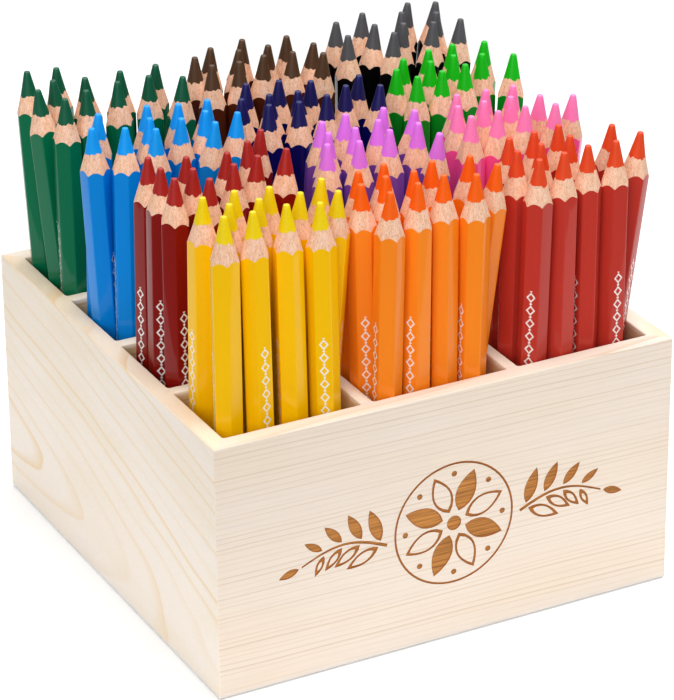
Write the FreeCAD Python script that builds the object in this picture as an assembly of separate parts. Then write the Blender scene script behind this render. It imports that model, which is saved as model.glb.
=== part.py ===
"""Open wooden box with twelve compartments, and a dozen thick coloured pencils standing in each.

Millimetres, +Z up.  The origin is the centre of the underside, and -Y is the front.
Every sub-part is written to parts/NODE.step.
"""

import FreeCAD, Part
import cmath
import math
import os

# ---- Box ----
box_width = 190.0
box_depth = 190.0
box_height = 102.0
wall = 7.2
columns = 3
rows = 4
divider = 4.9

bottom_thickness = 5.0
rabbet_depth = 3.6  # how far the bottom panel reaches into a wall
panel_play = 0.1  # gap round the bottom panel's edge
housing_depth = 2.0  # how far a divider's tongue reaches into a wall
housing_stop = 6.0  # a housing ends this far below the rim
joint_play = 0.1  # side play of a divider in its housing or lap
rim_round = 0.7
foot_round = 1.3

# ---- Pencil ----
pencil_length = 175.0
flats = 9.9
corner_round = 1.2
lead_diameter = 6.2
point_diameter = 2.2  # the blunt end of the lead
bare_lead = 9.5  # from the point down to the wood

# ---- Standing in the compartments ----
air = 0.15  # least gap between two pencils
wall_air = 0.3  # least gap between a pencil and a wall or divider
set_lift = 105.0  # how far a set is raised to clear the rim
settle_rounds = 260
pull_rounds = 220  # for this many rounds the points are also drawn towards their places
first_pull = 0.1
foot_follow = 0.05  # how much less readily a foot is drawn under its point
level_steps = 7  # a pencil's body is kept clear at its foot and this many heights above it
roll_step = 37.0  # degrees from one pencil to the next, so no two flats line up

# Where the points stand over their compartment, as hundredths of its half width and half depth.
# The first pencil of each set is the one that can be drawn out by itself.
# Sets run from the left, front row first.
sets = [
    ("yellow", 0, 0, [(-5, 5), (-65, 60), (-65, -30), (-45, 10), (-20, 60), (-30, -35),
                      (25, 45), (20, -35), (50, -5), (60, -55), (100, 35), (105, -30)]),
    ("orange", 1, 0, [(-5, -15), (-70, 30), (-85, -20), (-30, 35), (-45, -10), (-65, -80),
                      (-20, -65), (25, 5), (25, -50), (85, -15), (60, -85), (110, -55)]),
    ("vermilion", 2, 0, [(15, -10), (-60, 35), (-70, -25), (-20, 40), (-60, -75), (-35, -15),
                         (20, 45), (-20, -70), (20, -60), (85, -10), (60, -55), (110, -50)]),
    ("carmine", 0, 1, [(-25, 15), (-70, 45), (-70, -15), (-70, -60), (-35, -45), (-30, -100),
                       (30, -5), (25, -50), (70, 35), (105, 55), (60, -45), (105, -30)]),
    ("violet", 1, 1, [(-5, -10), (-30, 40), (-40, -10), (-60, -50), (5, 55), (-20, -70),
                      (35, 0), (70, 45), (35, -45), (100, -15), (75, -60), (95, -130)]),
    ("pink", 2, 1, [(-20, -10), (-45, 40), (-60, -10), (0, 30), (-60, -65), (-20, -65),
                    (15, -15), (45, 15), (20, -70), (55, -50), (55, -105), (105, -55)]),
    ("light_blue", 0, 2, [(-5, -15), (-65, 50), (-95, -15), (-55, -25), (5, 45), (-25, -60),
                          (45, 25), (30, -45), (85, 5), (70, -30), (110, -50), (65, -85)]),
    ("navy", 1, 2, [(-10, -30), (-95, -10), (-60, 55), (-55, -20), (-65, -55), (-15, 40),
                    (-25, -70), (20, 5), (15, -60), (60, -45), (95, -10), (105, -70)]),
    ("light_green", 2, 2, [(-10, -10), (-45, 20), (-70, -20), (-60, -65), (5, 40), (-20, -65),
                           (40, 45), (25, -10), (20, -55), (90, 30), (60, -35), (100, -40)]),
    ("dark_green", 0, 3, [(-30, -5), (-90, 90), (-50, 85), (-70, 30), (-110, 0), (-45, -55),
                          (-85, -85), (10, -35), (40, -10), (50, -45), (80, -25), (95, -80)]),
    ("brown", 1, 3, [(-5, -10), (-75, 0), (-40, 20), (-70, -50), (10, 35), (-30, -60),
                     (30, -10), (15, -50), (70, 0), (50, -55), (95, -60), (85, -105)]),
    ("black", 2, 3, [(30, -25), (-60, 35), (-10, 55), (-70, -40), (-15, -10), (35, 30),
                     (0, -55), (70, 35), (110, 45), (90, -10), (65, -50), (110, -60)]),
]

# ---- Worked out from the above ----
cell_width = (box_width - 2 * wall - (columns - 1) * divider) / columns
cell_depth = (box_depth - 2 * wall - (rows - 1) * divider) / rows
divider_height = box_height - bottom_thickness
lap_level = bottom_thickness + divider_height / 2
across_corners = flats / math.cos(math.pi / 6)
reach = across_corners / 2 - corner_round * (1 / math.cos(math.pi / 6) - 1)
lead_radius = lead_diameter / 2
point_radius = point_diameter / 2
taper = (lead_radius - point_radius) / bare_lead
wood_top = pencil_length - bare_lead
shoulder = pencil_length - (reach - point_radius) / taper  # where the sharpened cone starts


def box(x0, x1, y0, y1, z0, z1):
    """Block between two corners."""
    return Part.makeBox(x1 - x0, y1 - y0, z1 - z0, FreeCAD.Vector(x0, y0, z0))


def prism(outline, run):
    """Solid swept from a closed list of edges along the vector run."""
    return Part.Face(Part.Wire(outline)).extrude(run)


def line(a, b):
    return Part.LineSegment(a, b).toShape()


def quarter(start, centre, end):
    """Quarter round about a centre, from start to end."""
    bulge = (start - centre) + (end - centre)
    bulge.Length = (start - centre).Length
    return Part.Arc(start, centre + bulge, end).toShape()


def lathe(profile):
    """Solid of revolution about Z from a list of (radius, height) corners."""
    points = [FreeCAD.Vector(radius, 0, height) for radius, height in profile]
    face = Part.Face(Part.makePolygon(points + points[:1]))
    return face.revolve(FreeCAD.Vector(0, 0, 0), FreeCAD.Vector(0, 0, 1), 360)


# ---- Box pieces ----
def column_line(i):
    """X of the divider on the right of column i."""
    return -box_width / 2 + wall + (i + 1) * (cell_width + divider) - divider / 2


def row_line(j):
    """Y of the divider behind row j."""
    return -box_depth / 2 + wall + (j + 1) * (cell_depth + divider) - divider / 2


def wall_board(length, housings):
    """Mitred board along X with its outer face on Y = 0, rabbeted below and housed for dividers."""
    def at(y, z):
        return FreeCAD.Vector(-length / 2, y, z)

    inner_round = at(wall - rim_round, box_height - rim_round)
    outer_round = at(rim_round, box_height - rim_round)
    outline = [
        line(at(foot_round, 0), at(wall - rabbet_depth, 0)),
        line(at(wall - rabbet_depth, 0), at(wall - rabbet_depth, bottom_thickness)),
        line(at(wall - rabbet_depth, bottom_thickness), at(wall, bottom_thickness)),
        line(at(wall, bottom_thickness), at(wall, box_height - rim_round)),
        quarter(at(wall, box_height - rim_round), inner_round, at(wall - rim_round, box_height)),
        line(at(wall - rim_round, box_height), at(rim_round, box_height)),
        quarter(at(rim_round, box_height), outer_round, at(0, box_height - rim_round)),
        line(at(0, box_height - rim_round), at(0, foot_round)),
        quarter(at(0, foot_round), at(foot_round, foot_round), at(foot_round, 0)),
    ]
    board = prism(outline, FreeCAD.Vector(length, 0, 0))
    corners = [(-length / 2, 0), (length / 2, 0), (length / 2 - wall, wall), (wall - length / 2, wall)]
    plan = [FreeCAD.Vector(x, y, 0) for x, y in corners]
    mitre = Part.Face(Part.makePolygon(plan + plan[:1])).extrude(FreeCAD.Vector(0, 0, box_height))
    board = board.common(mitre)
    half = (divider + joint_play) / 2
    for x in housings:
        board = board.cut(box(x - half, x + half, wall - housing_depth, wall,
                              bottom_thickness, box_height - housing_stop))
    return board


def placed(shape, x, y, turn):
    """The shape turned about Z by degrees, then moved."""
    rotation = FreeCAD.Rotation(FreeCAD.Vector(0, 0, 1), turn)
    shape.Placement = FreeCAD.Placement(FreeCAD.Vector(x, y, 0), rotation)
    return shape


def bottom_panel():
    half_x = box_width / 2 - wall + rabbet_depth - panel_play
    half_y = box_depth / 2 - wall + rabbet_depth - panel_play
    return box(-half_x, half_x, -half_y, half_y, 0, bottom_thickness)


def divider_board(inside, laps, laps_from_top):
    """Divider along X, centred on Y = 0, tongued at both ends and slotted at each lap."""
    length = inside + 2 * housing_depth
    half = divider / 2

    def at(y, z):
        return FreeCAD.Vector(-length / 2, y, z)

    top = box_height
    low = top - rim_round
    outline = [
        line(at(-half, bottom_thickness), at(half, bottom_thickness)),
        line(at(half, bottom_thickness), at(half, low)),
        quarter(at(half, low), at(half - rim_round, low), at(half - rim_round, top)),
        line(at(half - rim_round, top), at(rim_round - half, top)),
        quarter(at(rim_round - half, top), at(rim_round - half, low), at(-half, low)),
        line(at(-half, low), at(-half, bottom_thickness)),
    ]
    board = prism(outline, FreeCAD.Vector(length, 0, 0))
    notch = top - housing_stop - joint_play
    board = board.cut(box(-length / 2, -inside / 2, -half, half, notch, top))
    board = board.cut(box(inside / 2, length / 2, -half, half, notch, top))
    slot = (divider + joint_play) / 2
    for x in laps:
        if laps_from_top:
            board = board.cut(box(x - slot, x + slot, -half, half, lap_level - joint_play / 2, top))
        else:
            board = board.cut(box(x - slot, x + slot, -half, half, bottom_thickness,
                                  lap_level + joint_play / 2))
    return board


def box_pieces():
    column_lines = [column_line(i) for i in range(columns - 1)]
    row_lines = [row_line(j) for j in range(rows - 1)]
    inside_width = box_width - 2 * wall
    inside_depth = box_depth - 2 * wall
    pieces = {
        "front_wall": placed(wall_board(box_width, column_lines), 0, -box_depth / 2, 0),
        "back_wall": placed(wall_board(box_width, [-x for x in column_lines]), 0, box_depth / 2, 180),
        "left_wall": placed(wall_board(box_depth, [-y for y in row_lines]), -box_width / 2, 0, -90),
        "right_wall": placed(wall_board(box_depth, row_lines), box_width / 2, 0, 90),
        "bottom_panel": bottom_panel(),
    }
    for i, x in enumerate(column_lines, 1):
        long_divider = divider_board(inside_depth, row_lines, True)
        pieces[f"long_divider_{i}"] = placed(long_divider, x, 0, 90)
    for j, y in enumerate(row_lines, 1):
        cross_divider = divider_board(inside_width, column_lines, False)
        pieces[f"cross_divider_{j}"] = placed(cross_divider, 0, y, 0)
    return pieces


# ---- Pencils ----
def pencil_casing():
    """Hexagonal wood casing, standing on Z = 0, bored for its lead and sharpened to a cone."""
    outline = []
    for k in range(6):
        corner = FreeCAD.Vector(across_corners / 2, 0, 0)
        trim = corner_round * math.tan(math.pi / 6)
        before = corner + FreeCAD.Vector(-0.5, -math.sqrt(0.75), 0) * trim
        after = corner + FreeCAD.Vector(-0.5, math.sqrt(0.75), 0) * trim
        next_before = FreeCAD.Vector(across_corners / 4, math.sqrt(0.75) * across_corners / 2, 0)
        next_before = next_before + FreeCAD.Vector(0.5, -math.sqrt(0.75), 0) * trim
        turn = FreeCAD.Rotation(FreeCAD.Vector(0, 0, 1), 60 * k)
        rounded = FreeCAD.Vector(reach, 0, 0)
        points = [turn.multVec(p) for p in (before, rounded, after, next_before)]
        outline.append(Part.Arc(*points[:3]).toShape())
        outline.append(line(points[2], points[3]))
    body = prism(outline, FreeCAD.Vector(0, 0, wood_top))
    spare = reach + 1
    start = shoulder - (spare - reach) / taper
    cone = lathe([(0, 0), (spare, 0), (spare, start), (lead_radius, wood_top), (0, wood_top)])
    bore = Part.makeCylinder(lead_radius, wood_top)
    return body.common(cone).cut(bore)


def pencil_lead():
    profile = [(0, 0), (lead_radius, 0), (lead_radius, wood_top), (point_radius, pencil_length)]
    return lathe(profile + [(0, pencil_length)])


class Stance:
    """One pencil's axis: the plan places of its foot and its point, as complex numbers.

    The wish is where the point was asked for.
    """

    def __init__(self, colour, cell, start, wish):
        self.colour = colour
        self.cell = cell
        self.foot = start
        self.point = start
        self.wish = wish

    def at(self, share):
        return self.foot + (self.point - self.foot) * share

    def push(self, share, shift):
        """Moves the axis by shift at a share of its length, turning it as little as need be."""
        weight = (1 - share) ** 2 + share ** 2
        self.foot += shift * (1 - share) / weight
        self.point += shift * share / weight

    def keep_inside(self, share):
        """Keeps the pencil in its compartment at a share of its length."""
        room_x = cell_width / 2 - reach - wall_air
        room_y = cell_depth / 2 - reach - wall_air
        off = self.at(share) - self.cell
        kept = complex(max(-room_x, min(room_x, off.real)), max(-room_y, min(room_y, off.imag)))
        if kept != off:
            self.push(share, kept - off)


def meetings(same_set):
    """Heights at which two pencils are kept apart, as (share, share, least distance)."""
    shoulder_share = shoulder / pencil_length
    apart = 2 * reach + air
    steps = [shoulder_share * k / level_steps for k in range(level_steps + 1)]
    found = [(share, share, apart) for share in steps]
    if not same_set:
        lift = set_lift / pencil_length
        point_apart = reach + point_radius + air
        for low, high, least in ((0, lift, apart), (shoulder_share - lift, shoulder_share, apart),
                                 (1 - lift, 1, point_apart)):
            found += [(low, high, least), (high, low, least)]
    return found


def upright_starts(wishes, across, back):
    """Starting places on a grid about a compartment's middle, in the wishes' own order."""
    room_x = cell_width / 2 - reach - wall_air
    room_y = cell_depth / 2 - reach - wall_air
    order = sorted(range(len(wishes)), key=lambda k: wishes[k].real)
    starts = {}
    for column in range(across):
        members = sorted(order[column * back:(column + 1) * back], key=lambda k: wishes[k].imag)
        for row, k in enumerate(members):
            x = room_x * (2 * column / max(across - 1, 1) - 1)
            y = room_y * (2 * row / max(back - 1, 1) - 1)
            starts[k] = complex(x, y)
    return [starts[k] for k in range(len(wishes))]


def settled_stances():
    """The pencils of every set, leaned towards their wishes while they are kept clear and inside."""
    fit_across = int((cell_width - 2 * (reach + wall_air)) / (2 * reach + air)) + 1
    fit_back = int((cell_depth - 2 * (reach + wall_air)) / (2 * reach + air)) + 1
    stances = []
    for colour, column, row, points in sets:
        x = column_line(column) - (divider + cell_width) / 2
        y = row_line(row) - (divider + cell_depth) / 2
        cell = complex(x, y)
        wishes = [complex(across * cell_width / 200, back * cell_depth / 200)
                  for across, back in points[: fit_across * fit_back]]
        used_across = math.ceil(len(wishes) / fit_back)
        for wish, start in zip(wishes, upright_starts(wishes, used_across, fit_back)):
            stances.append(Stance(colour, cell, cell + start, cell + wish))
    near = 2 * across_corners + divider
    pairs = []
    for i, one in enumerate(stances):
        for other in stances[:i]:
            if abs(one.point - other.point) < near + across_corners:
                pairs.append((one, other, meetings(one.colour == other.colour)))
    for count in range(settle_rounds):
        pull = first_pull * max(0, 1 - count / pull_rounds)
        for stance in stances:
            stance.point += (stance.wish - stance.point) * pull
            stance.foot += (stance.point - stance.foot) * pull * foot_follow
        for one, other, levels in pairs:
            for share, other_share, least in levels:
                gap = one.at(share) - other.at(other_share)
                short = least - abs(gap)
                if short > 0:
                    shift = cmath.rect(short / 2, cmath.phase(gap))
                    one.push(share, shift)
                    other.push(other_share, -shift)
        for stance in stances:
            stance.keep_inside(0)
            stance.keep_inside(divider_height / pencil_length)
    return stances


def standing(stance, roll):
    """Placement that stands a pencil on the bottom panel along its axis."""
    lean = stance.point - stance.foot
    axis = FreeCAD.Vector(lean.real, lean.imag, pencil_length)
    axis.normalize()
    tilt = FreeCAD.Rotation(FreeCAD.Vector(0, 0, 1), axis)
    turn = tilt.multiply(FreeCAD.Rotation(FreeCAD.Vector(0, 0, 1), roll))
    rise = reach * math.sqrt(1 - axis.z ** 2)
    foot = FreeCAD.Vector(stance.foot.real, stance.foot.imag, bottom_thickness + rise)
    return FreeCAD.Placement(foot, turn)


def pencil_placements():
    """For each set, the placements of its pencils; the first is the one that is drawn out."""
    placements = {}
    for count, stance in enumerate(settled_stances()):
        placement = standing(stance, count * roll_step)
        placements.setdefault(stance.colour, []).append(placement)
    return placements


def copies(shape, placements):
    found = []
    for placement in placements:
        copy = shape.copy()
        copy.Placement = placement
        found.append(copy)
    return found


def pencil_pieces():
    casing = pencil_casing()
    lead = pencil_lead()
    pieces = {}
    for colour, placements in pencil_placements().items():
        single = placements[:1]
        others = placements[1:]
        pieces[f"{colour}_single_casing"] = copies(casing, single)[0]
        pieces[f"{colour}_single_lead"] = copies(lead, single)[0]
        pieces[f"{colour}_casings"] = Part.makeCompound(copies(casing, others))
        pieces[f"{colour}_leads"] = Part.makeCompound(copies(lead, others))
    return pieces


def main():
    os.makedirs("parts", exist_ok=True)
    for node, shape in {**box_pieces(), **pencil_pieces()}.items():
        shape.exportStep(f"parts/{node}.step")


main()
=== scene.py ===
"""Open spruce box of twelve compartments, with a dozen thick coloured pencils standing in each.

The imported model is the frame: every board and pencil below stands where its CAD node stands.
"""

import math

import bmesh
import bpy
import numpy as np
from mathutils import Matrix, Vector


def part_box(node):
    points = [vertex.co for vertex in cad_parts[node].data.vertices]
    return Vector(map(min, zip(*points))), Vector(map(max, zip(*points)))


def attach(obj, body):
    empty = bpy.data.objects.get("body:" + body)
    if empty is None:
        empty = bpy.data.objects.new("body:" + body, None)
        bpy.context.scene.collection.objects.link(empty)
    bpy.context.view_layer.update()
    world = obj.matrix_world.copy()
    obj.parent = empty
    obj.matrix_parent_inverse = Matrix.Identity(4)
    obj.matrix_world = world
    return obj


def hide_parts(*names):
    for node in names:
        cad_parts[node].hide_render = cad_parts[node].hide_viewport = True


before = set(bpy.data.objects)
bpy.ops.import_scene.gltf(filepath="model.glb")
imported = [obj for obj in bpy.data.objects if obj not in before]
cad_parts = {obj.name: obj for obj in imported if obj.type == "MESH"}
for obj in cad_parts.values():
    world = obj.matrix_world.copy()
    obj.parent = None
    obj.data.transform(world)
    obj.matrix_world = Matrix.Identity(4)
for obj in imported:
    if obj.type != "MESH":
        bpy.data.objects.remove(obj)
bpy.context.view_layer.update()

MM = 0.001
BLACK = (0.0, 0.0, 0.0, 1.0)
WHITE = (1.0, 1.0, 1.0, 1.0)

# Colours of the lacquer and of the core, in the order of the compartments
PENCIL_COLOURS = {
    "yellow": ("FFC600", "F2D200"),
    "orange": ("FF8C1E", "FA6200"),
    "vermilion": ("C0362A", "E4481C"),
    "carmine": ("86100A", "A8201A"),
    "violet": ("7C4AAE", "E27AF0"),
    "pink": ("FF56A2", "FF84C0"),
    "light_blue": ("0086DE", "009CF6"),
    "navy": ("080A5A", "141458"),
    "light_green": ("068E1C", "04BA0A"),
    "dark_green": ("046A46", "06583C"),
    "brown": ("54220E", "523824"),
    "black": ("050505", "525256"),
}


def colour(code):
    """Linear colour from an sRGB hex code."""
    values = [int(code[i:i + 2], 16) / 255 for i in (0, 2, 4)]
    return tuple(v / 12.92 if v <= 0.04045 else ((v + 0.055) / 1.055) ** 2.4 for v in values) + (1.0,)


# ---- Node helpers ----
def add(tree, kind, inputs=None, **settings):
    """Adds a node with its settings; inputs gives each socket a value or the output that feeds it."""
    made = tree.nodes.new(kind)
    for name, value in settings.items():
        setattr(made, name, value)
    for socket, value in (inputs or {}).items():
        if isinstance(value, bpy.types.NodeSocket):
            tree.links.new(value, made.inputs[socket])
        else:
            made.inputs[socket].default_value = value
    return made


def maths(tree, operation, a, b=0.0):
    """Result of one step of arithmetic on numbers or outputs."""
    return add(tree, "ShaderNodeMath", {0: a, 1: b}, operation=operation).outputs[0]


def scaled(tree, vector, factors):
    """The vector with each of its parts multiplied by its own factor."""
    return add(tree, "ShaderNodeVectorMath", {0: vector, 1: factors}, operation="MULTIPLY").outputs[0]


def shifted(tree, vector, step):
    """The vector with a step added to it."""
    return add(tree, "ShaderNodeVectorMath", {0: vector, 1: step}, operation="ADD").outputs[0]


def split(tree, vector):
    """The x, y and z of a vector."""
    return add(tree, "ShaderNodeSeparateXYZ", {0: vector}).outputs


def noise(tree, vector, detail=2.0, roughness=0.5):
    """Noise of about one bump for each unit of the vector, from 0 to 1."""
    settings = {"Vector": vector, "Scale": 1.0, "Detail": detail, "Roughness": roughness}
    return add(tree, "ShaderNodeTexNoise", settings).outputs["Fac"]


def noise_along(tree, value, scale, detail):
    """Noise that changes with a single value, from 0 to 1."""
    settings = {"W": value, "Scale": scale, "Detail": detail}
    return add(tree, "ShaderNodeTexNoise", settings, noise_dimensions="1D").outputs["Fac"]


def ramp(tree, value, stops):
    """Grey levels along a value, from (place, level) stops."""
    made = add(tree, "ShaderNodeValToRGB", {0: value})
    elements = made.color_ramp.elements
    while len(elements) < len(stops):
        elements.new(1.0)
    for element, (place, level) in zip(elements, stops):
        element.position = place
        element.color = (level, level, level, 1.0)
    return made.outputs[0]


def mix(tree, amount, first, second, blend="MIX"):
    """First colour with second blended over it by an amount from 0 to 1."""
    made = add(tree, "ShaderNodeMix", {0: amount, 6: first, 7: second}, data_type="RGBA", blend_type=blend)
    return made.outputs[2]


def new_material(name, **shader):
    """Material whose shader has these constants; returns the material, its tree and the shader."""
    material = bpy.data.materials.new(name)
    material.use_nodes = True
    principled = material.node_tree.nodes["Principled BSDF"]
    for socket, value in shader.items():
        principled.inputs[socket.replace("_", " ")].default_value = value
    return material, material.node_tree, principled


def set_bump(tree, principled, height, depth):
    """Relief of at most the given depth in millimetres."""
    bump = add(tree, "ShaderNodeBump", {"Height": height, "Distance": depth * MM, "Strength": 1.0})
    tree.links.new(bump.outputs[0], principled.inputs["Normal"])


# ---- Materials ----
# (place, level) stops: darkness through one year, painted shade inside the compartments from the floor to
# the rim, painted reflection of the floor along the foot
late_wood = [(0.0, 0.4), (0.08, 0.0), (0.7, 0.0), (0.9, 0.7), (0.96, 1.0)]
# painted shade and pencil bounce inside the compartments, fading out just under the rim and at the bottom
# board's underside
painted_inside_shade = [(0.02, 0.0), (0.03, 0.75), (0.975, 0.75), (0.992, 0.0)]
# painted reflection of the pale floor: a greyish pale strip along the foot of every board
painted_floor_reflection = [(0.0, 0.0), (0.015, 0.85), (0.2, 0.85), (0.3, 0.4), (0.8, 0.0)]
floor_reflection_height = 4.0  # height that the painted reflection of the floor covers


def yearly_rings(tree, trunk, moved, year, sway, drift):
    """Darkness of the late wood in rings round the trunk's X axis, some years fainter than others."""
    across = scaled(tree, trunk, (0.0, 1.0, 1.0))
    radius = add(tree, "ShaderNodeVectorMath", {0: across}, operation="LENGTH").outputs[1]
    wander = noise(tree, scaled(tree, moved, (drift, 0.03, 0.03)), detail=2.0)
    wander = maths(tree, "MULTIPLY", maths(tree, "SUBTRACT", wander, 0.5), 2.0 * sway)
    years = maths(tree, "DIVIDE", maths(tree, "ADD", radius, wander), year)
    uneven = noise_along(tree, years, 0.45, detail=1.0)
    years = maths(tree, "ADD", years, maths(tree, "MULTIPLY", uneven, 0.9))
    season = ramp(tree, maths(tree, "FRACT", years), late_wood)
    strength = noise_along(tree, maths(tree, "FLOOR", years), 3.7, detail=0.0)
    return maths(tree, "MULTIPLY", season, ramp(tree, strength, [(0.3, 0.2), (0.7, 1.0)]))


def toned_by_place(tree, place, tone, rim):
    """The wood's tone, with painted shade and warm painted bounce from the pencils inside the
    compartments, tinted on the rim, and a painted pale reflection of the floor along the foot.
    """
    x, y, z = split(tree, place)
    off_centre = maths(tree, "MAXIMUM", maths(tree, "ABSOLUTE", x), maths(tree, "ABSOLUTE", y))
    inner_faces = (plan.inner + 0.1) * MM  # just past the inner faces of the walls
    within = maths(tree, "LESS_THAN", off_centre, inner_faces)
    rise = maths(tree, "DIVIDE", z, plan.height * MM)
    inside = maths(tree, "MULTIPLY", ramp(tree, rise, painted_inside_shade), within)
    # painted shade: wood inside the compartments is darkened and warmed, as if shaded and lit by the
    # pencils' bounce
    tone = mix(tree, inside, tone, colour("DEBE88"), "MULTIPLY")
    # rim tint: on the left board it takes the painted lightening of its tones back on the top edge
    tone = mix(tree, ramp(tree, rise, [(0.99, 0.0), (0.997, 1.0)]), tone, colour(rim), "MULTIPLY")
    # painted reflection of the floor: the lowest millimetres are mixed towards a pale grey
    foot = ramp(tree, maths(tree, "DIVIDE", z, floor_reflection_height * MM), painted_floor_reflection)
    return mix(tree, foot, tone, colour("E2DEDA"))


def spruce(name, pith, turn, year, pale, late, warm, sway=3.0, seed=0.0, drift=0.012, streaks=0.05,
           rim="FFFFFF"):
    """Bare sanded spruce cut from a trunk: yearly rings round a pith that runs through a point (mm).

    turn gives the trunk's direction in degrees from X, year the ring width in mm, streaks how far
    the fibres darken the wood, rim the tint of the board's top edge, which on the left board takes back
    the painted lightening of its tones there.
    """
    material, tree, shader = new_material(name, Roughness=0.62, Specular_IOR_Level=0.3)
    place = add(tree, "ShaderNodeTexCoord").outputs["Object"]
    trunk = add(tree, "ShaderNodeMapping", {
        "Vector": place,
        "Location": [p * MM for p in pith],
        "Rotation": [math.radians(angle) for angle in turn],
        "Scale": (MM, MM, MM),
    }, vector_type="TEXTURE").outputs[0]
    moved = shifted(tree, trunk, (seed, seed, seed))
    season = yearly_rings(tree, trunk, moved, year, sway, drift)
    fibre = noise(tree, scaled(tree, moved, (0.06, 2.6, 2.6)), detail=4.0, roughness=0.6)
    patch = noise(tree, scaled(tree, moved, (0.012, 0.05, 0.05)), detail=2.0)
    tone = mix(tree, ramp(tree, patch, [(0.4, 0.0), (0.68, 0.6)]), colour(pale), colour(warm))
    tone = mix(tree, season, tone, colour(late))
    tone = toned_by_place(tree, place, tone, rim)
    streak = ramp(tree, fibre, [(0.34, 1.0 - streaks), (0.62, 1.0)])
    tree.links.new(mix(tree, 1.0, tone, streak, "MULTIPLY"), shader.inputs["Base Color"])
    height = maths(tree, "ADD", maths(tree, "MULTIPLY", fibre, 0.6), maths(tree, "MULTIPLY", season, 0.5))
    set_bump(tree, shader, height, 0.03)
    return material


def pencil_place(tree):
    """Place on the upright pencil, in millimetres from its foot."""
    return add(tree, "ShaderNodeAttribute", attribute_name="pencil_place").outputs["Vector"]


def pencil_number(tree):
    """A number from 0 to 1 that each pencil has to itself."""
    return add(tree, "ShaderNodeAttribute", attribute_name="pencil_number").outputs["Fac"]


def bare_cedar():
    """Soft straight-grained pencil wood, freshly sharpened: fine flecks, faint cutter lines."""
    material, tree, shader = new_material("sharpened_cedar", Roughness=0.68)
    place = pencil_place(tree)
    away = maths(tree, "MULTIPLY", pencil_number(tree), 400.0)
    moved = shifted(tree, place, away)
    grain = noise(tree, scaled(tree, moved, (1.1, 1.1, 0.05)), detail=3.0)
    fleck = noise(tree, scaled(tree, moved, (3.4, 3.4, 0.6)), detail=2.0, roughness=0.6)
    cutter = noise(tree, scaled(tree, moved, (0.3, 0.3, 5.0)), detail=1.0)
    tone = mix(tree, ramp(tree, grain, [(0.35, 0.0), (0.65, 1.0)]), colour("F6CEB4"), colour("ECB692"))
    tone = mix(tree, ramp(tree, fleck, [(0.5, 0.0), (0.7, 0.7)]), tone, colour("B8835E"))
    tree.links.new(tone, shader.inputs["Base Color"])
    height = maths(tree, "ADD", maths(tree, "MULTIPLY", fleck, -0.6), maths(tree, "MULTIPLY", cutter, 0.4))
    set_bump(tree, shader, height, 0.03)
    return material


def stamp(tree, place):
    """Where white foil lies on two flats of a barrel: open lozenges, a small one between each two."""
    x, y, z = split(tree, place)
    off = maths(tree, "ABSOLUTE", x)
    cell = maths(tree, "SUBTRACT", maths(tree, "FRACT", maths(tree, "DIVIDE", z, stamp_pitch)), 0.5)
    along = maths(tree, "MULTIPLY", maths(tree, "ABSOLUTE", cell), stamp_pitch)
    large = maths(tree, "ADD", maths(tree, "DIVIDE", off, stamp_half_width),
                  maths(tree, "DIVIDE", along, stamp_half_length))
    line = maths(tree, "SUBTRACT", maths(tree, "LESS_THAN", large, 1.0),
                 maths(tree, "LESS_THAN", large, stamp_opening))
    beyond = maths(tree, "SUBTRACT", stamp_pitch / 2, along)
    small = maths(tree, "LESS_THAN", maths(tree, "ADD", off, beyond), stamp_link)
    above_foot = maths(tree, "GREATER_THAN", z, stamp_foot)
    below_head = maths(tree, "LESS_THAN", z, stamp_head)
    on_flat = maths(tree, "GREATER_THAN", maths(tree, "ABSOLUTE", y), flat_radius - 0.05)
    inside = maths(tree, "MULTIPLY", maths(tree, "MULTIPLY", above_foot, below_head), on_flat)
    return maths(tree, "MULTIPLY", inside, maths(tree, "MAXIMUM", line, small))


def lacquer(name, code):
    """Glossy dipped lacquer over wood: coat, slight lengthwise ripples, and tones a little apart."""
    material, tree, shader = new_material(
        name + "_lacquer", Roughness=0.35, Specular_IOR_Level=0.06, Coat_Weight=0.45, Coat_Roughness=0.04)
    place = pencil_place(tree)
    ripple = noise(tree, scaled(tree, place, (0.9, 0.9, 0.035)), detail=2.0)
    speck = noise(tree, scaled(tree, place, (1.6, 1.6, 1.2)), detail=3.0, roughness=0.6)
    batch = maths(tree, "MULTIPLY", pencil_number(tree), 0.05)
    shade = maths(tree, "ADD", batch, maths(tree, "MULTIPLY", ripple, 0.04))
    tone = mix(tree, shade, colour(code), BLACK)
    cover = ramp(tree, speck, [(0.36, 0.55), (0.5, 0.95)])
    foil = maths(tree, "MULTIPLY", stamp(tree, place), cover)
    tone = mix(tree, foil, tone, colour("F4F2EC"))
    tree.links.new(tone, shader.inputs["Base Color"])
    height = maths(tree, "ADD", ripple, maths(tree, "MULTIPLY", speck, 0.25))
    set_bump(tree, shader, height, 0.01)
    return material


def core(name, code):
    """Waxy pigment core turned to a cone: satin, with faint cutter rings and pressed specks."""
    material, tree, shader = new_material(name + "_core", Roughness=0.46, Specular_IOR_Level=0.25)
    place = pencil_place(tree)
    ring = noise(tree, scaled(tree, place, (0.15, 0.15, 2.6)), detail=2.0)
    speck = noise(tree, scaled(tree, place, (3.2, 3.2, 2.2)), detail=3.0, roughness=0.7)
    last_millimetre = maths(tree, "SUBTRACT", split(tree, place)[2], length - 1.0)
    # the last millimetre towards the tip is mixed a little towards white
    paler_tip = ramp(tree, last_millimetre, [(0.5, 0.0), (0.95, 0.04)])
    tone = mix(tree, ramp(tree, speck, [(0.35, 0.14), (0.6, 0.0)]), colour(code), BLACK)
    tone = mix(tree, paler_tip, tone, WHITE)
    tree.links.new(tone, shader.inputs["Base Color"])
    set_bump(tree, shader, maths(tree, "ADD", ring, maths(tree, "MULTIPLY", speck, 0.6)), 0.03)
    return material


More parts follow.
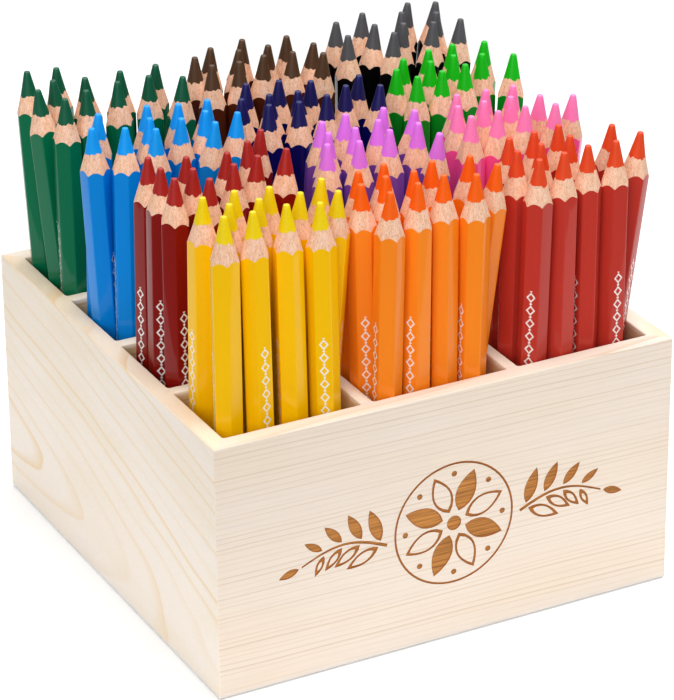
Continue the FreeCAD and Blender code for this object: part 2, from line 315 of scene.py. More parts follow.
# ---- Boards ----
rim_round = 0.7
foot_round = 1.3
corner_ease = 0.5  # outer upright edges
inside_round = 1.0  # upright corners of the compartments
skin = 0.02  # the dressed faces lie this far inside the CAD faces
rounding_steps = 4  # to a quarter turn of an edge, and to an arc in plan
panel_room = 0.1  # of the rabbet round the bottom panel
cutter_reach = 1.0  # of a cutter past the wood


def placed(name, data):
    """Object with this data at the scene's origin."""
    made = bpy.data.objects.new(name, data)
    bpy.context.scene.collection.objects.link(made)
    return made


def finished(name, bm):
    """Mesh from an edit mesh, which is given up."""
    mesh = bpy.data.meshes.new(name)
    bm.to_mesh(mesh)
    bm.free()
    return mesh


def band(bm, under, over):
    """Faces between two rings of as many corners."""
    count = len(under)
    return [bm.faces.new((under[i], under[(i + 1) % count], over[(i + 1) % count], over[i]))
            for i in range(count)]


def mm_box(node):
    """Lowest and highest corner of a CAD node in millimetres."""
    low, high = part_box(node)
    return low / MM, high / MM


def arc(centre, radius, start, end, steps=rounding_steps):
    """Points of an arc in plan, angles in degrees, both ends included."""
    turns = [math.radians(start + (end - start) * i / steps) for i in range(steps + 1)]
    return [(centre[0] + radius * math.cos(t), centre[1] + radius * math.sin(t)) for t in turns]


def stepped_in(outline, depths):
    """The outline's corners, each edge moved inwards by its own depth. Edges run anticlockwise."""
    moved = []
    for i, (x, y) in enumerate(outline):
        before, after = outline[i - 1], outline[(i + 1) % len(outline)]
        first = Vector((x - before[0], y - before[1])).normalized().orthogonal()
        second = Vector((after[0] - x, after[1] - y)).normalized().orthogonal()
        a, b = depths[i - 1], depths[i]
        turned = first.x * second.y - first.y * second.x
        if abs(turned) < 1e-4:
            step = first * a
        else:
            step = Vector((a * second.y - b * first.y, b * first.x - a * second.x)) / turned
        moved.append((x + step.x, y + step.y))
    return moved


def board_mesh(name, outline, kinds, low, high, foot=foot_round, rim=rim_round):
    """Upright board from its plan: top edges rounded on rim and outer edges, foot on outer edges."""
    levels = []
    turns = [math.radians(90 * part / rounding_steps) for part in range(rounding_steps + 1)]
    for turn in turns:
        levels.append((low + foot * (1 - math.cos(turn)), {"outer": foot * (1 - math.sin(turn))}))
    for turn in turns:
        depth = rim * (1 - math.cos(turn))
        levels.append((high - rim + rim * math.sin(turn), {"outer": depth, "rim": depth}))
    bm = bmesh.new()
    rings = []
    for z, depths in levels:
        corners = stepped_in(outline, [depths.get(kind, 0.0) for kind in kinds])
        rings.append([bm.verts.new((x * MM, y * MM, z * MM)) for x, y in corners])
    for under, over in zip(rings, rings[1:]):
        band(bm, under, over)
    bm.faces.new(rings[0][::-1])
    bm.faces.new(rings[-1])
    return finished(name, bm)


def new_piece(name, mesh, body, slot, nodes, *materials):
    """Object at the origin that stands for CAD nodes and rides on their body."""
    piece = placed(name, mesh)
    if materials:
        mesh.materials.clear()
        for material in materials:
            mesh.materials.append(material)
    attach(piece, body)
    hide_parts(*nodes)


def smooth(mesh, angle=30.0):
    """Smooth shading, but for edges sharper than the angle in degrees."""
    mesh.shade_smooth()
    mesh.set_sharp_from_angle(angle=math.radians(angle))


def carved(mesh, cutter):
    """The mesh with the cutter's shape taken out."""
    piece, tool = placed("carving", mesh), placed("cutter", cutter)
    cut = piece.modifiers.new("cut", "BOOLEAN")
    cut.operation = "DIFFERENCE"
    cut.solver = "EXACT"
    cut.object = tool
    evaluated = piece.evaluated_get(bpy.context.evaluated_depsgraph_get())
    result = bpy.data.meshes.new_from_object(evaluated)
    bpy.data.objects.remove(piece)
    bpy.data.objects.remove(tool)
    return result


def box_mesh(low, high):
    """Block between two corners in millimetres."""
    bm = bmesh.new()
    bmesh.ops.create_cube(bm, size=1.0)
    middle = (Vector(low) + Vector(high)) / 2
    size = Vector(high) - Vector(low)
    for vert in bm.verts:
        vert.co = Vector([(middle[k] + vert.co[k] * size[k]) * MM for k in range(3)])
    return finished("block", bm)


class Plan:
    """The box seen from above, in millimetres, read from the CAD nodes."""

    def __init__(self):
        front_high = mm_box("front_wall")[1]
        self.half = front_high.x - skin  # half the outer width
        self.height = front_high.z
        self.inner = -mm_box("left_wall")[1].x  # half the inner width
        back_low, back_high = mm_box("back_wall")
        self.deep = back_high.y - skin  # half the outer depth
        self.inner_deep = back_low.y
        panel_high = mm_box("bottom_panel")[1]
        self.floor = panel_high.z
        self.panel = panel_high.x + panel_room  # half the rabbet's width
        self.panel_deep = panel_high.y + panel_room
        self.long = self.bands("long_divider_", 0)
        self.cross = self.bands("cross_divider_", 1)

    def bands(self, stem, axis):
        """(start, end) of each divider of a direction, in order."""
        names = sorted(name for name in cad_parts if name.startswith(stem))
        return [tuple(corner[axis] for corner in mm_box(name)) for name in names]


plan = Plan()


def inner_edge(half, bands):
    """Points and edge kinds along a board's inner face from one end to the other, with its fillets.

    The face lies on y = 0 with the compartments above it; x runs from -half to half.
    """
    r = inside_round
    round_edges = ["rim"] * rounding_steps
    points = arc((-half + r, r), r, 225, 270)
    kinds = round_edges + ["rim"]
    for start, end in bands:
        points += arc((start - r, r), r, 270, 360)
        kinds += round_edges + ["joint"]
        points += arc((end + r, r), r, 180, 270)
        kinds += round_edges + ["rim"]
    points += arc((half - r, r), r, 270, 315)
    kinds += round_edges + ["joint"]
    return points, kinds


def wall_outline(half, depth_half, inner_half, inner_depth, bands):
    """Plan of the front wall: outer face at y = -depth_half, mitred ends, compartments above."""
    points, kinds = inner_edge(inner_half, bands)
    points = [(x, y - inner_depth) for x, y in points]
    e = corner_ease
    right = arc((half - e, -depth_half + e), e, -45, -90, 2)
    left = arc((-half + e, -depth_half + e), e, 270, 225, 2)
    points += right + left
    kinds += ["outer"] * (len(right) + len(left) - 1) + ["joint"]
    # reversed to run anticlockwise, each kind still beside the first point of its edge
    points.reverse()
    kinds.reverse()
    return points, kinds[1:] + kinds[:1]


def turned(points, quarter):
    """Plan points turned by quarter turns about the origin."""
    for _ in range(quarter % 4):
        points = [(-y, x) for x, y in points]
    return points


def wall_board(name, quarter):
    """Visible wall board, mitred at both ends and rabbeted for the bottom panel."""
    sideways = quarter % 2
    half, depth = (plan.deep, plan.half) if sideways else (plan.half, plan.deep)
    inner, inner_depth = (plan.inner_deep, plan.inner) if sideways else (plan.inner, plan.inner_deep)
    bands = plan.cross if sideways else plan.long
    if quarter in (2, 3):
        bands = [(-end, -start) for start, end in reversed(bands)]
    points, kinds = wall_outline(half, depth, inner, inner_depth, bands)
    mesh = board_mesh(name, turned(points, quarter), kinds, 0.0, plan.height)
    rabbet = box_mesh(
        (-plan.panel, -plan.panel_deep, -cutter_reach), (plan.panel, plan.panel_deep, plan.floor))
    return carved(mesh, rabbet)


def long_divider(name, place):
    """Divider from front to back, with fillets where the cross dividers meet it."""
    r = inside_round
    round_edges = ["rim"] * rounding_steps
    mirrored = [(-end, -start) for start, end in reversed(plan.cross)]
    points, kinds = [], []
    for side, x, bands in ((1, place[1], plan.cross), (-1, -place[0], mirrored)):
        run = [(x, -plan.inner_deep + r)]
        kinds.append("rim")
        for start, end in bands:
            run += arc((x + r, start - r), r, 180, 90)
            kinds += round_edges + ["joint"]
            run += arc((x + r, end + r), r, 270, 180)
            kinds += round_edges + ["rim"]
        run.append((x, plan.inner_deep - r))
        kinds.append("joint")
        points += [(side * px, side * py) for px, py in run]
    return board_mesh(name, points, kinds, plan.floor, plan.height)


def cross_divider(name, place):
    """Divider from side to side, in one length for each column of compartments."""
    r = inside_round
    near, far = place
    ends = [-plan.inner] + [x for pair in plan.long for x in pair] + [plan.inner]
    bm = bmesh.new()
    for start, end in zip(ends[::2], ends[1::2]):
        points = [(start + r, near), (end - r, near), (end - r, far), (start + r, far)]
        piece = board_mesh(name, points, ["rim", "joint"] * 2, plan.floor, plan.height)
        bm.from_mesh(piece)
        bpy.data.meshes.remove(piece)
    return finished(name, bm)


def bottom_board():
    """Bottom panel: its eased edges leave a fine groove round it underneath."""
    low, high = mm_box("bottom_panel")
    points = [(low.x, low.y), (high.x, low.y), (high.x, high.y), (low.x, high.y)]
    return board_mesh("bottom_board", points, ["outer"] * 4, low.z, high.z, foot=0.6, rim=0.3)


# ---- Burnt ornament on the front ----
burn_depth = 0.3
burn_line = 0.4  # darker edge round a burnt shape
outline_width = 0.85  # of the shapes that are only outlined
burn_centre = (2.0, 48.0)  # across and up the front
rosette_radius = 25.0
heart_radius = 3.0
petals = 8
petal_foot, petal_length, petal_width = 5.0, 17.0, 8.2
dot_ring, dot_radius = 20.4, 1.15
sprig_foot, sprig_length = 28.0, 35.0  # across the front, from the rosette's centre
sprig_rise, sprig_drop = 5.0, 2.0
stem_width, stem_taper = 1.3, 0.6
leaf_pairs = 4
first_leaf, leaf_step = 0.06, 0.22  # places along the stem, from 0 to 1
leaf_size, leaf_shrink = 14.5, 2.0  # the first pair's length, and how much each next pair loses
leaf_slimness = 0.36
leaf_turn = 48  # degrees between a leaf and its stem
leaf_gap = 1.6  # between the middle of the stem and a leaf


def lens(start, end, width, belly=0.45, steps=9):
    """Leaf or petal outline between two points, widest at belly of its length."""
    start, end = Vector(start), Vector(end)
    along = end - start
    side = Vector((-along.y, along.x)).normalized()
    power = math.log(0.5) / math.log(belly)
    fullness = 0.85
    half = []
    for i in range(1, steps):
        t = i / steps
        half.append((t, width / 2 * math.sin(math.pi * t ** power) ** fullness))
    lower = [start + along * t - side * w for t, w in half]
    upper = [start + along * t + side * w for t, w in reversed(half)]
    return [tuple(p) for p in [start] + lower + [end] + upper]


def disc(centre, radius, steps=20):
    """Circle as an outline."""
    return arc(centre, radius, 0, 360 * (steps - 1) / steps, steps - 1)


def ribbon(path, widths):
    """Outline of a stem that follows a path, with a width at each point."""
    points = [Vector(p) for p in path]
    left, right = [], []
    for i, point in enumerate(points):
        along = points[min(i + 1, len(points) - 1)] - points[max(i - 1, 0)]
        side = Vector((-along.y, along.x)).normalized() * widths[i] / 2
        left.append(tuple(point + side))
        right.append(tuple(point - side))
    return right + left[::-1]


def leaf(start, way, size, width, line):
    """A leaf's outline and the same leaf a line smaller all round."""
    end = start + way * size
    tip = line * size / width
    return lens(start, end, width), lens(start + way * tip, end - way * tip, width - 2 * line)


def sprig(side):
    """Leafy branch to one side of the rosette: filled leaves above, outlined ones below."""
    def at(t):
        bow = sprig_rise * math.sin(math.pi * t) - sprig_drop
        return Vector((side * (sprig_foot + sprig_length * t), bow))

    steps = 14
    widths = [stem_width - stem_taper * i / steps for i in range(steps + 1)]
    stem = ribbon([at(i / steps) for i in range(steps + 1)], widths)
    filled, hollow = [(stem, None)], []
    for k in range(leaf_pairs):
        t = first_leaf + leaf_step * k
        along = (at(t + 0.01) - at(t - 0.01)).normalized()
        size = leaf_size - leaf_shrink * k
        for up, group, line in ((1, filled, burn_line), (-1, hollow, outline_width)):
            way = Matrix.Rotation(math.radians(side * up * leaf_turn), 2) @ along
            group.append(leaf(at(t) + way * leaf_gap, way, size, size * leaf_slimness, line))
    # the last leaf hangs a little at the stem's end
    way = Vector((side * 0.96, -0.28))
    filled.append(leaf(at(1.0) + way * 1.2, way, 8.5, 3.2, burn_line))
    return filled, hollow


def ornament():
    """Burnt shapes about their centre, each with its inner outline: the filled, then the outlined."""
    def from_centre(degrees):
        angle = math.radians(degrees)
        return Vector((math.cos(angle), math.sin(angle)))

    middle = (0, 0)
    filled = [(disc(middle, heart_radius), disc(middle, heart_radius - burn_line))]
    hollow = [(disc(middle, rosette_radius, 64), disc(middle, rosette_radius - outline_width, 64))]
    step = 360 / petals
    for k in range(petals):
        group, line = (filled, burn_line) if k % 2 else (hollow, outline_width)
        way = from_centre(step * (k + 0.5))
        group.append(leaf(way * petal_foot, way, petal_length, petal_width, line))
        filled.append((disc(from_centre(step * k) * dot_ring, dot_radius, 14), None))
    for side in (1, -1):
        more_filled, more_hollow = sprig(side)
        filled += more_filled
        hollow += more_hollow
    return filled, hollow


def anticlockwise(outline):
    """The outline in anticlockwise order."""
    area = sum(a[0] * b[1] - b[0] * a[1] for a, b in zip(outline, outline[1:] + outline[:1]))
    return outline if area > 0 else outline[::-1]


def burn_cutter(centre):
    """Closed cutters, one for each burnt shape, that reach a little behind the front face."""
    bm = bmesh.new()
    front, base = -plan.deep - cutter_reach, -plan.deep + burn_depth

    def loop(outline, y):
        return [bm.verts.new(((centre[0] + px) * MM, y * MM, (centre[1] + pz) * MM))
                for px, pz in anticlockwise(outline)]

    filled, hollow = ornament()
    for outline, inner in filled:
        mouth, floor = loop(outline, front), loop(outline, base)
        bm.faces.new(mouth)
        band(bm, floor, mouth)
        if inner:
            middle = loop(inner, base)
            band(bm, middle, floor)
            floor = middle
        bm.faces.new(floor[::-1])
    for outline, inner in hollow:
        loops = [loop(edge, y) for edge, y in
                 ((outline, front), (outline, base), (inner, base), (inner, front))]
        for first, second in zip(loops, loops[1:] + loops[:1]):
            band(bm, second, first)
    bmesh.ops.recalc_face_normals(bm, faces=bm.faces)
    return finished("burn", bm)


def mark_burns(mesh):
    """Gives the burnt faces of the front board their materials: 1 the floor of a shape, 2 its edge."""
    front = -plan.deep * MM
    floor = front + burn_depth * MM
    near = 1e-6
    for face in mesh.polygons:
        y = face.center.y
        if abs(face.normal.y) < 0.5 and front + near < y < floor - near:
            face.material_index = 2
        elif abs(y - floor) < 2 * near and face.normal.y < -0.9:
            # four-sided faces make up the line round a filled shape
            face.material_index = 1 if len(face.vertices) > 5 else 2


def fit_board(name, mesh, node, *cuts):
    """Adds a board as the piece that stands for its CAD node."""
    smooth(mesh)
    new_piece(name, mesh, "box", "pale_wood", [node], *cuts)


def make_box():
    """Nine boards and the bottom panel, each with its own cut of spruce."""
    front_grain = {"pith": (0, -50, -170), "turn": (0, 1.0, 0), "year": 2.1,
                   "sway": 3.2, "seed": 11.0, "drift": 0.006}
    front_cut = spruce("spruce_front", pale="EFE1D3", late="DDC7AD", warm="EFDDC8", **front_grain)
    scorched = spruce(
        "scorched_spruce", pale="CF8A40", late="8A4E18", warm="B06C2C", streaks=0.45, **front_grain)
    scorch_edge = spruce("scorch_edge", pale="B4702E", late="945620", warm="A86628", **front_grain)
    # painted light: the left board's tones are paler to make up for the weaker light on its face; its rim
    # tint takes this back on the top edge, which gets the same light as the other rims
    left_cut = spruce("spruce_left", (-95, 168, 36), (0, -6.5, 80.5), 6.5, "F6EBDF", "F0D7B2", "F2E4CC",
                      sway=5.0, seed=3.0, drift=0.009, rim="FFF6E8")
    back_cut = spruce("spruce_back", (0, 70, 170), (0, -2.0, 0), 3.0, "F4E6D5", "DFC49E", "F4DFBE",
                      sway=5.0, seed=29.0)
    right_cut = spruce("spruce_right", (85, 0, -30), (0, 3.0, 90), 3.6, "F5E8D8", "E3C89F", "F5E1BF",
                       sway=4.0, seed=47.0)
    long_cut = spruce("spruce_long_dividers", (0, 0, -60), (0, 1.5, 90), 2.4, "F5E7D7", "E0C7A3", "F5E1C2",
                      sway=3.0, seed=61.0)
    cross_cut = spruce("spruce_cross_dividers", (0, 40, -80), (0, 1.0, 1.5), 2.6, "F5E7D7", "E0C7A3",
                       "F5E1C2", sway=3.0, seed=83.0)
    panel_cut = spruce("spruce_panel", (0, 20, -40), (0, 0.5, 3.0), 3.4, "F0E0CB", "DDC09A", "F0DBB8",
                       sway=4.0, seed=97.0)

    front = carved(wall_board("front_board", 0), burn_cutter(burn_centre))
    fit_board("front_board", front, "front_wall", front_cut, scorched, scorch_edge)
    mark_burns(front)
    fit_board("right_board", wall_board("right_board", 1), "right_wall", right_cut)
    fit_board("back_board", wall_board("back_board", 2), "back_wall", back_cut)
    fit_board("left_board", wall_board("left_board", 3), "left_wall", left_cut)
    for i, place in enumerate(plan.long, 1):
        name = f"long_partition_{i}"
        fit_board(name, long_divider(name, place), f"long_divider_{i}", long_cut)
    for i, place in enumerate(plan.cross, 1):
        name = f"cross_partition_{i}"
        fit_board(name, cross_divider(name, place), f"cross_divider_{i}", cross_cut)
    fit_board("bottom_board", bottom_board(), "bottom_panel", panel_cut)


# ---- Pencils ----
length = 175.0
flat_radius = 4.95
corner_radius = 0.7
lead_radius = 3.2
point_radius = 1.1
bare_lead = 9.5
lead_slope = (lead_radius - point_radius) / bare_lead
wood_slope = 0.272  # the wood is cut to a blunter cone than the core
wood_top = length - bare_lead
corner_offset = (flat_radius - corner_radius) / math.cos(math.pi / 6)
corner_span = math.degrees(math.atan2(
    corner_radius / 2, corner_offset + corner_radius * math.cos(math.pi / 6)))
foot_chamfer = 0.25
coat = 0.05  # thickness of the lacquer, which shows as a step at the cut
scallop_depth = 0.5  # share of the depth that a sharp-edged hexagon would give
bore_head = 161.0  # height where the straight bore ends
cone_foot = 163.6  # height from which core and wood follow the cone
core_room = 0.02  # between the core and its nominal surface
variants = 6
stamp_pitch = 5.2
stamp_foot, stamp_head = 14 * stamp_pitch, 24 * stamp_pitch
stamp_half_width, stamp_half_length = 1.75, 2.1  # of a lozenge
stamp_opening = 0.58  # open share of a lozenge
stamp_link = 0.6  # half width of the small lozenges


def hexagon_radius(degrees):
    """Distance from the axis to the rounded hexagon, with a corner at 0 degrees."""
    off = abs((degrees + 30) % 60 - 30)
    if off > corner_span:
        return flat_radius / math.cos(math.radians(30 - off))
    c, s = math.cos(math.radians(off)), math.sin(math.radians(off))
    return corner_offset * c + math.sqrt(corner_radius ** 2 - (corner_offset * s) ** 2)


def cone_radius(z):
    """Distance from the axis to the sharpened surface at a height."""
    if z > wood_top:
        return point_radius + lead_slope * (length - z)
    return lead_radius + wood_slope * (wood_top - z)


def loft(name, rows, kinds, closed):
    """Mesh through rows of (radius, height, degrees) corners; kinds gives each band's bare_wood flag.

    closed joins the last row to the first; otherwise the first and last rows are closed to a point.
    """
    bm = bmesh.new()
    place = bm.verts.layers.float_vector.new("pencil_place")
    bare = bm.faces.layers.bool.new("bare_wood")

    def corner(radius, z, degrees):
        angle = math.radians(degrees)
        spot = Vector((radius * math.cos(angle), radius * math.sin(angle), z))
        vert = bm.verts.new(spot * MM)
        vert[place] = spot
        return vert

    rings = [[corner(*spot) for spot in row] for row in rows]
    if closed:
        rings.append(rings[0])
    for under, over, kind in zip(rings, rings[1:], kinds):
        for face in band(bm, under, over):
            face[bare] = kind
    if not closed:
        first, last = rings[0], rings[-1]
        foot, tip = corner(0, rows[0][0][1], 0), corner(0, length, 0)
        for i in range(len(first)):
            j = (i + 1) % len(first)
            bm.faces.new((first[j], first[i], foot))
            bm.faces.new((last[i], last[j], tip))
    return finished(name, bm)


def barrel_mesh(number, chance):
    """Wooden barrel: rounded hexagon, scalloped where the cone cuts the lacquer, wavy edge at the core."""
    a = corner_span
    steps = (-a - 1.2, -a, -a / 2, 0, a / 2, a, a + 1.2, 15, 22, 30, 38, 45)  # degrees from a corner
    tilt, way = chance.uniform(0.03, 0.16), chance.uniform(0, 360)
    waves = [(2, 0.3), (5, 0.26), (8, 0.24), (13, 0.12)]  # times round, and height
    waves = [(times, size * chance.uniform(0.5, 1.3), chance.uniform(0, 360)) for times, size in waves]
    columns = []
    for degrees in [60 * side + step for side in range(6) for step in steps]:
        outer = hexagon_radius(degrees)
        off_axis = tilt * math.cos(math.radians(degrees - way))
        arch = wood_top - (flat_radius + off_axis - lead_radius) / wood_slope
        scallop = arch - scallop_depth * (outer - flat_radius) / wood_slope
        wave = sum(size * math.sin(math.radians(times * degrees + start)) for times, size, start in waves)
        wood_end = wood_top + wave
        top, cut = cone_radius(wood_end), outer - coat
        profile = [(lead_radius, 0), (outer - foot_chamfer, 0), (outer, foot_chamfer),
                   (outer, scallop - 0.3), (cut, scallop)]
        for part in (0.33, 0.67, 1.0):
            profile.append((cut + (top - cut) * part, scallop + (wood_end - scallop) * part))
        profile += [(cone_radius(cone_foot) - 0.015, cone_foot), (lead_radius, bore_head)]
        columns.append([(radius, z, degrees) for radius, z in profile])
    bare = [True, False, False, False, True, True, True, True, True, True]
    return loft(f"barrel_{number}", list(zip(*columns)), bare, closed=True)


def lead_mesh(number):
    """Core: a cylinder inside the wood that comes out as a blunt cone."""
    profile = [(lead_radius, 0), (lead_radius, bore_head + 0.2)]
    profile += [(cone_radius(z), z) for z in (cone_foot, 165.5, 168.0, 170.5, 173.0, length - 0.25)]
    profile = [(radius - core_room, z) for radius, z in profile]
    profile += [(point_radius - 0.1, length - 0.08), (point_radius - 0.4, length - 0.01)]
    rows = [[(radius, z, 360 * i / 40) for i in range(40)] for radius, z in profile]
    return loft(f"core_{number}", rows, [False] * len(profile), closed=False)


def prototypes():
    """Collections of barrel and core variants, which the node tree picks from."""
    chance = np.random.default_rng(7)
    groups = {}
    for kind in ("barrels", "cores"):
        groups[kind] = bpy.data.collections.new(kind)
    for number in range(variants):
        for kind, mesh in (("barrels", barrel_mesh(number, chance)), ("cores", lead_mesh(number))):
            groups[kind].objects.link(bpy.data.objects.new(f"{kind}_{number}", mesh))
    return groups


def in_use(sockets, name):
    """The socket of this name that belongs to the node's data type."""
    return next(socket for socket in sockets if socket.name == name and socket.enabled)


def standing_tree():
    """Node tree that stands a variant on each foot point, turned as the point says, and paints it."""
    tree = bpy.data.node_groups.new("pencils_standing", "GeometryNodeTree")
    taken = (("Geometry", "Geometry"), ("Variants", "Collection"), ("Variant count", "Int"),
             ("Seed", "Int"), ("Finish", "Material"), ("Bare finish", "Material"))
    for name, kind in taken:
        tree.interface.new_socket(name, in_out="INPUT", socket_type="NodeSocket" + kind)
    tree.interface.new_socket("Geometry", in_out="OUTPUT", socket_type="NodeSocketGeometry")
    given = add(tree, "NodeGroupInput").outputs
    along = add(tree, "GeometryNodeInputNamedAttribute", {"Name": "along"}, data_type="FLOAT_VECTOR")
    corner = add(tree, "GeometryNodeInputNamedAttribute", {"Name": "corner"}, data_type="FLOAT_VECTOR")
    turn = add(tree, "FunctionNodeAxesToRotation", {
        "Primary Axis": along.outputs[0],
        "Secondary Axis": corner.outputs[0],
    }, primary_axis="Z", secondary_axis="X")
    pick = add(tree, "FunctionNodeRandomValue", data_type="INT")
    tree.links.new(maths(tree, "SUBTRACT", given["Variant count"], 1), in_use(pick.inputs, "Max"))
    tree.links.new(given["Seed"], in_use(pick.inputs, "Seed"))
    source = add(tree, "GeometryNodeCollectionInfo", {
        "Collection": given["Variants"], "Separate Children": True, "Reset Children": True,
    })
    standing = add(tree, "GeometryNodeInstanceOnPoints", {
        "Points": given["Geometry"],
        "Instance": source.outputs[0],
        "Pick Instance": True,
        "Instance Index": in_use(pick.outputs, "Value"),
        "Rotation": turn.outputs[0],
    })
    number = add(tree, "FunctionNodeRandomValue", {"Seed": given["Seed"]}, data_type="FLOAT")
    named = add(tree, "GeometryNodeStoreNamedAttribute", {
        "Geometry": standing.outputs[0], "Name": "pencil_number",
    }, data_type="FLOAT", domain="INSTANCE")
    tree.links.new(in_use(number.outputs, "Value"), named.inputs["Value"])
    whole = add(tree, "GeometryNodeRealizeInstances", {"Geometry": named.outputs[0]})
    painted = add(tree, "GeometryNodeSetMaterial", {
        "Geometry": whole.outputs[0], "Material": given["Finish"],
    })
    bare = add(tree, "GeometryNodeInputNamedAttribute", {"Name": "bare_wood"}, data_type="BOOLEAN")
    done = add(tree, "GeometryNodeSetMaterial", {
        "Geometry": painted.outputs[0], "Material": given["Bare finish"],
        "Selection": bare.outputs[0],
    })
    add(tree, "NodeGroupOutput", {"Geometry": done.outputs[0]})
    return tree


def islands(bm):
    """Groups of joined vertices."""
    seen, groups = set(), []
    for start in bm.verts:
        if start in seen:
            continue
        seen.add(start)
        group, waiting = [], [start]
        while waiting:
            vert = waiting.pop()
            group.append(vert)
            for edge in vert.link_edges:
                other = edge.other_vert(vert)
                if other not in seen:
                    seen.add(other)
                    waiting.append(other)
        groups.append(group)
    return groups


def stances(node):
    """(foot, direction, corner direction) of every pencil of a CAD casing node, in metres."""
    end_zone = 5e-5  # the end faces reach no further along the axis
    beyond_bore = 0.0042
    bm = bmesh.new()
    bm.from_mesh(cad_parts[node].data)
    bmesh.ops.remove_doubles(bm, verts=bm.verts, dist=1e-6)
    found = []
    for group in islands(bm):
        spots = np.array([vert.co for vert in group])
        middle = spots.mean(axis=0)
        axis = np.linalg.svd(spots - middle, full_matrices=False)[2][0]
        axis = axis * np.sign(axis[2])
        for _ in range(2):
            along = (spots - middle) @ axis
            foot = spots[along < along.min() + end_zone].mean(axis=0)
            top = spots[along > along.max() - end_zone].mean(axis=0)
            axis = (top - foot) / np.linalg.norm(top - foot)
        off = spots - foot
        along = off @ axis
        off = off - along[:, None] * axis
        outer = off[(along < end_zone) & (np.linalg.norm(off, axis=1) > beyond_bore)]
        first = outer[0] / np.linalg.norm(outer[0])
        second = np.cross(axis, first)
        # the mean direction of the foot's corners, counted modulo a sixth of a turn
        angle = np.angle(np.exp(6j * np.arctan2(outer @ second, outer @ first)).sum()) / 6
        found.append((foot, axis, first * math.cos(angle) + second * math.sin(angle)))
    bm.free()
    return found


def feet_mesh(places):
    """One point for each pencil's foot, with its direction and the direction of one corner."""
    mesh = bpy.data.meshes.new("feet")
    mesh.from_pydata([tuple(foot) for foot, _, _ in places], [], [])
    for name, column in (("along", 1), ("corner", 2)):
        layer = mesh.attributes.new(name, "FLOAT_VECTOR", "POINT")
        layer.data.foreach_set("vector", np.array([place[column] for place in places]).ravel())
    return mesh


def stood(tree, places, values):
    """Plain mesh of the tree's result on these feet."""
    holder = placed("feet", feet_mesh(places))
    modifier = holder.modifiers.new("pencils", "NODES")
    modifier.node_group = tree
    sockets = {item.name: item.identifier for item in tree.interface.items_tree if item.in_out == "INPUT"}
    for name, value in values.items():
        modifier[sockets[name]] = value
    evaluated = holder.evaluated_get(bpy.context.evaluated_depsgraph_get())
    mesh = bpy.data.meshes.new_from_object(evaluated)
    bpy.data.objects.remove(holder)
    for spare in ("along", "corner"):
        if spare in mesh.attributes:
            mesh.attributes.remove(mesh.attributes[spare])
    return mesh


def make_pencils():
    """A dozen pencils of each colour: eleven that stay as a set, and one that can be drawn out."""
    groups = prototypes()
    tree = standing_tree()
    cedar = bare_cedar()
    for count, (name, (paint, pigment)) in enumerate(PENCIL_COLOURS.items()):
        finish = lacquer(name, paint)
        wax = core(name, pigment)
        for body, casing, lead, shift in (
            (f"{name}_set", f"{name}_casings", f"{name}_leads", 0),
            (f"{name}_single", f"{name}_single_casing", f"{name}_single_lead", 5),
        ):
            places = stances(casing)
            shared = {"Variant count": variants, "Seed": 10 * count + shift}
            barrels = stood(tree, places, {
                "Variants": groups["barrels"], "Finish": finish, "Bare finish": cedar, **shared})
            smooth(barrels, 32.0)
            new_piece(f"{body}_barrels", barrels, body, f"{name}_lacquer", [casing])
            cores = stood(tree, places, {
                "Variants": groups["cores"], "Finish": wax, "Bare finish": wax, **shared})
            smooth(cores, 40.0)
            new_piece(f"{body}_cores", cores, body, f"{name}_lead", [lead])


# ---- Stage ----
view_around = math.radians(-27.555)  # the camera's turn about the upright axis
view_above = math.radians(25.831)
view_roll = math.radians(-0.498)
camera_place = (-0.58321, -1.12476, 0.69199)
sensor = 36.0
focal_pixels, picture_pixels = 3663.0, 700.0  # focal length and picture height in pixels
floor_side, floor_front, floor_back = 0.62, -0.26, 0.5
floor_drop = 0.0002  # below the box's foot, so that the two faces don't fight
aim_height = 0.09  # of the lights
sky_seen, sky_lighting = 1.02, 0.23


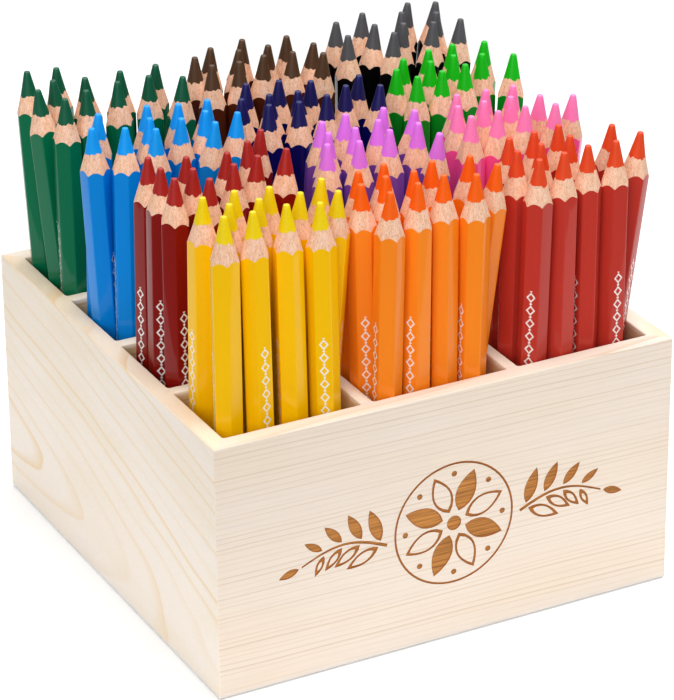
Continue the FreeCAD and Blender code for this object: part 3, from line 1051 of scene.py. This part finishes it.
def make_floor():
    """Plain pale floor under the box, square to the camera's view."""
    material, tree, shader = new_material("pale_floor", Roughness=0.9, Emission_Strength=0.16)
    place = add(tree, "ShaderNodeTexCoord").outputs["Object"]
    tooth = noise(tree, scaled(tree, place, (40.0, 40.0, 40.0)), detail=3.0)
    tone = mix(tree, tooth, colour("EDEDED"), colour("F1F1F1"))
    tree.links.new(tone, shader.inputs["Base Color"])
    shader.inputs["Emission Color"].default_value = WHITE
    turn = Matrix.Rotation(view_around, 3, "Z")
    corners = [(-floor_side, floor_front), (floor_side, floor_front),
               (floor_side, floor_back), (-floor_side, floor_back)]
    mesh = bpy.data.meshes.new("floor")
    mesh.from_pydata([turn @ Vector((x, y, -floor_drop)) for x, y in corners], [], [(0, 1, 2, 3)])
    mesh.materials.append(material)
    floor = placed("floor", mesh)


def softbox(name, place, size, power):
    """Square white studio light aimed at the pencils."""
    light = bpy.data.lights.new(name, "AREA")
    light.shape = "SQUARE"
    light.size = size
    light.energy = power
    lamp = placed(name, light)
    lamp.location = place
    aim = Vector((0.0, 0.0, aim_height)) - Vector(place)
    lamp.rotation_euler = aim.to_track_quat("-Z", "Y").to_euler()


def make_light():
    """White surroundings to the eye, dimmer in reflections, and two softboxes."""
    world = bpy.data.worlds.new("studio")
    bpy.context.scene.world = world
    world.use_nodes = True
    tree = world.node_tree
    background = tree.nodes["Background"]
    seen = add(tree, "ShaderNodeLightPath").outputs["Is Camera Ray"]
    level = mix(tree, seen, (sky_lighting,) * 3 + (1.0,), (sky_seen,) * 3 + (1.0,))
    tree.links.new(level, background.inputs["Color"])
    softbox("top_light", (0.24, -0.04, 1.5), 1.4, 31.5)
    softbox("key_light", (-1.97, -2.05, 1.35), 1.9, 46.0)


def make_camera():
    """Camera at the viewing angle: a long lens from the front left, a little above."""
    camera = bpy.data.cameras.new("camera")
    camera.sensor_fit = "VERTICAL"
    camera.sensor_height = sensor
    camera.sensor_width = sensor
    camera.lens = focal_pixels * sensor / picture_pixels
    camera.clip_start = 0.05
    camera.clip_end = 20.0
    holder = placed("camera", camera)
    around = Matrix.Rotation(view_around, 4, "Z")
    tip = Matrix.Rotation(math.pi / 2 - view_above, 4, "X")
    turn = around @ tip @ Matrix.Rotation(view_roll, 4, "Z")
    holder.matrix_world = Matrix.Translation(camera_place) @ turn
    bpy.context.scene.camera = holder
    bpy.context.scene.view_settings.view_transform = "Standard"


make_camera()
make_light()
make_floor()
make_box()
make_pencils()
